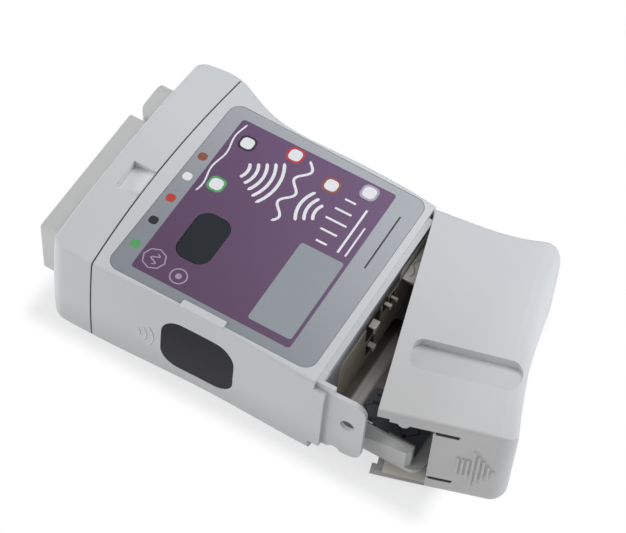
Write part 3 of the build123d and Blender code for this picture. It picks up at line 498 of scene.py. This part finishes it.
def fan_of_arcs(name, x, y, radii, middle, spread):
    """Widening arcs about one point, as radio waves are drawn."""
    steps = 16
    for index, radius in enumerate(radii):
        angles = [math.radians(middle + spread * (step / steps - 0.5)) for step in range(steps + 1)]
        arc = [(x + radius * math.cos(angle), y + radius * math.sin(angle)) for angle in angles]
        printed_line(f"{name}_{index + 1}", arc, 1.15, white_ink, ends=0.4)


def wave_points(x, y, swing, turn, rise, count):
    """Points of a wave that climbs along Y; each step turns in radians and rises."""
    return [(x + swing * math.sin(step * turn), y + rise * step) for step in range(count)]


def ring_points(x, y, radius, count=20):
    angles = [2 * math.pi * index / count for index in range(count)]
    return [(x + radius * math.cos(angle), y + radius * math.sin(angle)) for angle in angles]


fan_of_arcs("near_wave", -28.4, 14.3, (5.0, 7.4, 9.8, 12.2, 14.6), 0, 68)
fan_of_arcs("far_wave", 4.6, 12.6, (5.2, 7.6, 10.0), 180, 70)
printed_line("carrier_wave", wave_points(-9.6, 3.4, 1.5, 0.42, 0.6, 40), 0.95, white_ink, ends=0.4)
printed_line("rim_wave", wave_points(-32.2, 1.0, 0.5, 0.35, 0.7, 40), 0.6, white_ink, ends=0.4)
bar_x = 6.0
for index, bar_length in enumerate((3.4, 5.2, 6.6, 5.2, 3.4)):
    bar_y = 4.6 + 4.0 * index
    bar = [(bar_x - bar_length / 2, bar_y), (bar_x + bar_length / 2, bar_y)]
    printed_line(f"level_bar_{index + 1}", bar, 0.8, white_ink)
printed_line("white_rule_1", [(11.4, 4.0), (11.4, 20.5)], 0.8, white_ink)
printed_line("white_rule_2", [(13.8, 4.0), (13.8, 15.0)], 0.6, white_ink)
printed_line("border_rule", [(20.2, 3.5), (20.2, 23.5)], 0.5, lead_inks["black"])
mauve_ink = ink("mauve_ink", linear(170, 152, 178))
sign_line = 0.5
printed_line("wave_sign_frame", ring_points(-29.6, -24.0, 3.3, 8), sign_line, mauve_ink, closed=True)
sign_wave = wave_points(-29.6, -25.8, 1.1, 0.785, 0.3, 13)
printed_line("wave_sign_line", sign_wave, sign_line, mauve_ink, ends=0.6)
printed_line("press_sign_ring", ring_points(-21.0, -25.4, 2.4), sign_line, mauve_ink, closed=True)
printed_square("press_sign_dot", (-21.0, -25.4), 0.9, 0.8, 2, mauve_ink)


# Button and window
# The call button is a dark soft-touch moulding, the window a dark infrared
# filter with a smooth polished face.
dress(moulded_plastic("button_plastic", linear(35, 40, 46), 0.55, 0.15, 0.02, 0.25), "patient_button")
dress(moulded_plastic("window_filter", linear(36, 35, 39), 0.42, 0.03, 0.02, 0.12), "infrared_window")


# Pocket in the cap
# A square pocket beside the seam whose floor slopes up to the front. The floor carries a smoother, paler
# plate: painted light over the shade of the sloping floor.
pocket_x0, pocket_x1 = -51.7, -44.9
pocket_low_z = 32.22
pocket_slope = math.atan2(2.1, 8.5)
lit_pocket_plastic = moulded_plastic("lit_pocket_plastic", linear(240, 240, 241), 0.34, 0.05, 0.02)
pocket_floor = rounded_plate("pocket_floor", (0, pocket_x1 - pocket_x0), (-9.2, 0.6), 0.3, 0, 0.04 * MM)
pocket_seat = Matrix.Translation(Vector((pocket_x0, 0, pocket_low_z)) * MM)
tilt = Matrix.Rotation(-pocket_slope, 4, "Y")
pocket_floor.matrix_world = pocket_seat @ tilt @ pocket_floor.matrix_world
settle(pocket_floor, lit_pocket_plastic)


# Battery tray and bay wall
# A light tray with its near rail and cradle rib. The wall behind it carries a worn brown-grey panel. The
# liner, the panel and the pad on the tray's floor darken towards the hinge side deep in the bay: painted
# shade.
def wall_plate(name, y_limits, z_limits, corner, x0, x1):
    """A plate with rounded corners that stands across the case, in millimetres."""
    piece = rounded_plate(name, y_limits, z_limits, corner, x0 * MM, x1 * MM)
    stand_up = Matrix(((0, 0, 1, 0), (1, 0, 0, 0), (0, 1, 0, 0), (0, 0, 0, 1)))
    piece.matrix_world = stand_up @ piece.matrix_world
    return piece


dress(moulded_plastic("tray_plastic", linear(198, 198, 196), 0.4, 0.15), "battery_tray")
liner_plastic = moulded_plastic("liner_plastic", linear(152, 154, 157), 0.5, 0.2, 0.05)
# Painted shade: the liner darkens towards the hinge side.
tone_along(liner_plastic, "Y", (-31, 1), (-20, 0.95), (6, 0.55, 0.55, 0.56), (28, 0.5))
dress(liner_plastic, "bay_liner")
wall_x = 27.8
panel_face_x = wall_x + 0.25
panel_plastic = moulded_plastic("panel_plastic", linear(186, 179, 164), 0.55, 0.5, 0.3, cloud_scale=170)
# Painted shade: the panel darkens towards the hinge side, nearly to black at its far end.
tone_along(panel_plastic, "Y", (-23, 1), (-4, 0.92, 0.92, 0.9), (9, 0.8, 0.78, 0.76), (27, 0.15, 0.14, 0.13))
bay_panel = wall_plate("bay_panel", (-22.8, 26.6), (7.4, 25.4), 2.8, wall_x, panel_face_x)
settle(bay_panel, panel_plastic)
pad_plastic = moulded_plastic("pad_plastic", linear(238, 234, 226), 0.5, 0.4, 0.08)
# Along X, painted shade darkens the pad next to the wall, and a pale band by the cradle rib is a painted
# reflection.
tone_along(
    pad_plastic,
    "X",
    (27.8, 0.18, 0.17, 0.15),
    (30.3, 0.22, 0.21, 0.19),
    (31.1, 1),
    (33.6, 1),
    (34.4, 0.43, 0.42, 0.4),
    (56, 0.43, 0.42, 0.4),
)
# Painted shade: the pad darkens towards the hinge side, nearly to black.
tone_along(
    pad_plastic,
    "Y",
    (-28, 1),
    (-13, 1),
    (-6, 0.62, 0.61, 0.6),
    (2, 0.5, 0.49, 0.47),
    (9, 0.12, 0.11, 0.1),
    (12, 0.04),
)
pad_top = 7.0 * MM
bay_pad = rounded_plate("bay_pad", (28.1, 54.6), (-27.4, 10.8), 1.0, pad_top, pad_top + INK_LAYER)
settle(bay_pad, pad_plastic)
rib_top = 7.6 * MM
# The strip on the rib takes the pad's pale band of painted reflection.
cradle_strip = rounded_plate("cradle_strip", (32.3, 34.3), (-25.9, 10.8), 0.2, rib_top, rib_top + INK_LAYER)
settle(cradle_strip, pad_plastic)
lip_x = 28.4
# A thin grey plate on the lip's end face, darker towards the hinge side: painted shade.
painted_lip_shade = moulded_plastic("painted_lip_shade", linear(176, 177, 179), 0.5, 0.2)
tone_along(
    painted_lip_shade,
    "Y",
    (-30, 1),
    (-18, 0.84, 0.84, 0.85),
    (-6, 0.56, 0.57, 0.58),
    (10, 0.42, 0.43, 0.44),
    (28, 0.4),
)
lip_edge = wall_plate("lip_edge", (-29.0, 27.5), (31.85, 33.95), 0.1, lip_x, lip_x + 0.03)
settle(lip_edge, painted_lip_shade)


# Floor label in the bay
# A dark label on the pad shows how the two cells lie: an outline for each with
# its plus and minus ends.
label_ink = ink("floor_label", linear(92, 95, 102), roughness=0.5)
mark_ink = ink("mark_ink", linear(28, 29, 33), roughness=0.5)
label_level = pad_top + 3 * INK_LAYER


def cell_mark(name, points, width, closed=False):
    """A dark line on the floor label."""
    printed_line(name, points, width, mark_ink, 1, closed, level=label_level)


floor_label = rounded_plate("floor_label", (34.6, 54.5), (-26.2, -11.6), 1.2, pad_top, label_level)
settle(floor_label, label_ink)
mark_half = 2.2
plus_y = -22.8
for index, x in enumerate((38.4, 48.8)):
    for y in (-13.6, -16.4, plus_y):
        cell_mark(f"cell_bar_{index + 1}_{-round(y)}", [(x - mark_half, y), (x + mark_half, y)], 0.8)
    cell_mark(f"cell_upright_{index + 1}", [(x, plus_y - 2.0), (x, plus_y + 2.0)], 0.8)
    cell_mark(f"cell_outline_{index + 1}", ring_points(x, -18.6, 3.4, 4), 0.5, closed=True)


# Cell retainer
# A warm pale bridge over the cells' far ends, with an upstand against the bay's wall and a wavy line
# scratched in its top. Its near-white colour is painted light that offsets the shade of the lip and door
# above it.
retainer_plastic = moulded_plastic("retainer_plastic", linear(240, 236, 228), 0.5, 0.2, 0.03)
dress(retainer_plastic, "cell_retainer")
upstand = wall_plate("retainer_upstand", (10.9, 27.4), (25.4, 31.7), 0.3, wall_x, wall_x + 0.2)
settle(upstand, retainer_plastic)
scratch_ink = ink("scratch_ink", linear(176, 168, 156), roughness=0.6)
scratch = wave_points(29.7, 12.4, 0.8, 0.62, 0.62, 16)
bridge_top = 27.0 * MM
printed_line(
    "retainer_wave", scratch, 0.35, scratch_ink, 1, ends=0.5, level=bridge_top
)


# Contact clips
# Four bent clips of dull sheet on the bay's wall, each a shelf with a lip that turns down, over a dark plate
# of painted shadow on the panel. Springs, plates and can are nickel-plated.
def select_faces(piece, wanted):
    """Leaves a piece in edit mode with only the wanted faces selected."""
    bpy.ops.object.mode_set(mode="EDIT")
    bpy.ops.mesh.select_mode(type="FACE")
    bpy.ops.mesh.select_all(action="DESELECT")
    bpy.ops.object.mode_set(mode="OBJECT")
    for face in piece.data.polygons:
        face.select = wanted(face)
    bpy.ops.object.mode_set(mode="EDIT")


def bent_clip(name, y, top, width, drop):
    """A shelf off the bay's wall whose end is bent down by drop, in millimetres."""
    shelf_length = 1.8
    shelf_end = wall_x + shelf_length
    sheet = 0.55
    lip_length = 0.6
    middle = Vector((wall_x + shelf_length / 2, y, top - 0.3)) * MM
    bpy.ops.mesh.primitive_cube_add(size=1, location=middle)
    clip = bpy.context.active_object
    clip.name = name
    clip.scale = Vector((shelf_length, width, sheet)) * MM
    bpy.ops.object.transform_apply(location=True, rotation=False, scale=True)
    select_faces(clip, lambda face: face.normal.x > 0.9)
    bpy.ops.mesh.extrude_region_move(TRANSFORM_OT_translate={"value": (lip_length * MM, 0, 0)})
    select_faces(clip, lambda face: face.normal.z < -0.9 and face.center.x > shelf_end * MM)
    bpy.ops.mesh.extrude_region_move(TRANSFORM_OT_translate={"value": (0, 0, -drop * MM)})
    bpy.ops.mesh.select_all(action="SELECT")
    bpy.ops.mesh.normals_make_consistent(inside=False)
    bpy.ops.object.mode_set(mode="OBJECT")
    edge = clip.modifiers.new("edge", "BEVEL")
    edge.width = 0.15 * MM
    edge.segments = 2
    bpy.ops.object.modifier_apply(modifier=edge.name)
    settle(clip, clip_finish)
    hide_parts("bay_contact_tabs")


clip_finish = moulded_plastic("clip_finish", linear(206, 202, 192), 0.35, 0.1, 0.06, 0.6)
# Dark plates round and below each clip: painted shadow.
painted_clip_shadow = moulded_plastic("painted_clip_shadow", linear(52, 46, 40), 0.7, 0.3, 0.1)
clips = (
    ("wide_clip", -5.7, 26.6, 3.0, 1.9),
    ("low_clip", -5.8, 16.0, 1.7, 1.3),
    ("first_clip", 2.0, 26.3, 1.1, 1.0),
    ("second_clip", 5.8, 24.6, 0.9, 0.8),
)
shadow_face_x = panel_face_x + 0.07
for name, y, top, width, drop in clips:
    shadow_y = (y - width * 0.7, y + width * 1.8)
    shadow_z = (top - drop * 4.2, top + 0.5)
    shadow_plate = wall_plate(f"{name}_well", shadow_y, shadow_z, 0.8, wall_x, shadow_face_x)
    settle(shadow_plate, painted_clip_shadow)
    bent_clip(name, y, top, width, drop)
nickel_plate = plated_metal("nickel_plate", linear(168, 165, 160), 0.42)
dress(nickel_plate, "battery_leaf_springs", "battery_contact_plates", "rf_shield_can")


# Side sign
# Three low arcs moulded into the near side beside the window, for the infrared
# link behind it. Each is a bead sunk in the wall past its middle.
def side_depth(x, z, node="main_housing"):
    """Y in metres of a node's near side at an X and Z in millimetres."""
    flat_side_y = -35.5
    start = Vector((x, -60, z)) * MM
    hit, place, *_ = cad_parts[node].ray_cast(start, Vector((0, 1, 0)))
    return place.y if hit else flat_side_y * MM


def raised_arc(name, radius):
    """A moulded bead on the near side, bowed towards the window."""
    centre_x, centre_z = -29.0, 16.4
    spread = math.radians(80)
    steps = 14
    bead_radius = 0.275 * MM
    sunk = 0.08 * MM
    points = []
    for step in range(steps + 1):
        angle = spread * (step / steps - 0.5)
        x = centre_x + radius * math.cos(angle)
        z = centre_z + radius * math.sin(angle)
        points.append((x * MM, side_depth(x, z) + sunk, z * MM))
    arc = drawn_tube(name, points, bead_radius, 2)
    bpy.ops.object.shade_smooth()
    settle(arc, case_plastic)


for index, radius in enumerate((2.2, 4.3, 6.4)):
    raised_arc(f"side_sign_arc_{index + 1}", radius)


# Tab slits and door floor
# Two slits free the tab in the door's near wall. A dark bead of painted shadow lies in each, so they show as
# deep gaps. The door's floor inside carries a smoother, paler plate whose colour is painted light over its
# shade.
def slit_bead(name, x_limits, z):
    """A dark bead sunk in the door's near wall: painted shadow in a slit."""
    steps = 9
    bead_radius = 0.6 * MM
    sunk = 0.5 * MM
    points = []
    for step in range(steps + 1):
        x = x_limits[0] + (x_limits[1] - x_limits[0]) * step / steps
        points.append((x * MM, side_depth(x, z, "battery_door") + sunk, z * MM))
    bead = drawn_tube(name, points, bead_radius, 3)
    bpy.ops.object.shade_smooth()
    settle(bead, slit_shadow_paint, "battery_door")


# Dark beads of painted shadow in the slits.
slit_shadow_paint = moulded_plastic("slit_shadow_paint", linear(62, 58, 54), 0.7, 0.1)
slit_bead("upper_slit", (60.3, 66.2), 29.95)
slit_bead("lower_slit", (60.4, 66.4), 7.65)
open_turn = math.radians(15.5)
door_hinge = Vector((30.0, 31.7, 0)) * MM
sill_top = 2.4 * MM
door_floor = rounded_plate(
    "door_floor", (30.4, 48.0), (-34.5, -22.0), 0.3, sill_top, sill_top + 0.02 * MM
)
opened = Matrix.Rotation(open_turn, 4, "Z")
swing = Matrix.Translation(door_hinge) @ opened @ Matrix.Translation(-door_hinge)
door_floor.matrix_world = swing @ door_floor.matrix_world
# A paler, smoother floor plate: painted light over the shade inside the door.
lit_door_floor_plastic = moulded_plastic("lit_door_floor_plastic", linear(238, 234, 226), 0.3, 0.05, 0.03)
settle(door_floor, lit_door_floor_plastic, "battery_door")


# Screws
# Pan-head screws with a cross recess, sunk in the rear. The four in the corners
# and the two at the tray hold the body, two more the connector cap.
screw_steel = plated_metal("screw_steel", linear(176, 176, 178), 0.3)
body_screws = [(x, y) for x in (-37.0, 17.0) for y in (-28.6, 29.5)] + [(23.2, -16.0), (23.2, 16.0)]
end_screws = [(-47.3, -30.4), (-47.3, 36.0)]


def cross_screw(name):
    """One screw: a head with a rounded rim, its shank, and the cross cut in."""
    head_bottom, head_top = 0.3 * MM, 1.7 * MM
    head_radius = 1.85 * MM
    head_rim = 0.35 * MM
    shank_inset = 0.95 * MM
    shank_length = 4.9 * MM
    cross_length, cross_width, cross_height = 2.1 * MM, 0.55 * MM, 1.3 * MM
    bpy.ops.mesh.primitive_cylinder_add(
        vertices=40,
        radius=head_radius,
        depth=head_top - head_bottom,
        location=(0, 0, (head_bottom + head_top) / 2),
    )
    screw = bpy.context.active_object
    screw.name = name
    bpy.ops.object.transform_apply(location=True, rotation=False, scale=False)
    select_faces(screw, lambda face: face.normal.z < -0.9)
    bpy.ops.mesh.bevel(offset=head_rim, segments=3)
    select_faces(screw, lambda face: face.normal.z > 0.9)
    bpy.ops.mesh.inset(thickness=shank_inset)
    bpy.ops.mesh.extrude_region_move(TRANSFORM_OT_translate={"value": (0, 0, shank_length)})
    bpy.ops.object.mode_set(mode="OBJECT")
    for x_size, y_size in ((cross_length, cross_width), (cross_width, cross_length)):
        bpy.ops.mesh.primitive_cube_add(size=1, location=(0, 0, head_bottom))
        blade = bpy.context.active_object
        blade.scale = (x_size, y_size, cross_height)
        cut_out(screw, blade)
    return screw


def place_screws(name, places, node):
    """Copies the screw to its places, each turned its own way, and joins them."""
    first = cross_screw(name)
    copies = []
    for index, (x, y) in enumerate(places):
        copy = first.copy()
        copy.data = first.data.copy()
        copy.location = (x * MM, y * MM, 0)
        copy.rotation_euler = (0, 0, math.radians(23 + 47 * index))
        bpy.context.collection.objects.link(copy)
        copies.append(copy)
    select_only(first)
    bpy.ops.object.delete()
    for copy in copies:
        copy.select_set(True)
    bpy.context.view_layer.objects.active = copies[0]
    bpy.ops.object.transform_apply(location=True, rotation=True, scale=True)
    bpy.ops.object.join()
    joined = bpy.context.active_object
    joined.name = name
    settle(joined, screw_steel)
    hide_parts(node)


place_screws("body_screws", body_screws, "case_screws")
place_screws("end_screws", end_screws, "cap_screws")


# Inside
# Green laminate boards with black moulded parts, steel board screws and hinge
# pin, and brass inserts for the case screws.
board_laminate = moulded_plastic("board_laminate", linear(40, 110, 66), 0.35, 0.05)
dress(board_laminate, "main_circuit_board", "connector_board")
black_plastic = moulded_plastic("black_plastic", linear(40, 40, 42), 0.5, 0.1)
dress(black_plastic, "button_switch", "infrared_emitter", "board_header")
dress(screw_steel, "board_screws", "hinge_pin")
dress(plated_metal("insert_brass", linear(204, 168, 96), 0.3), "threaded_inserts")
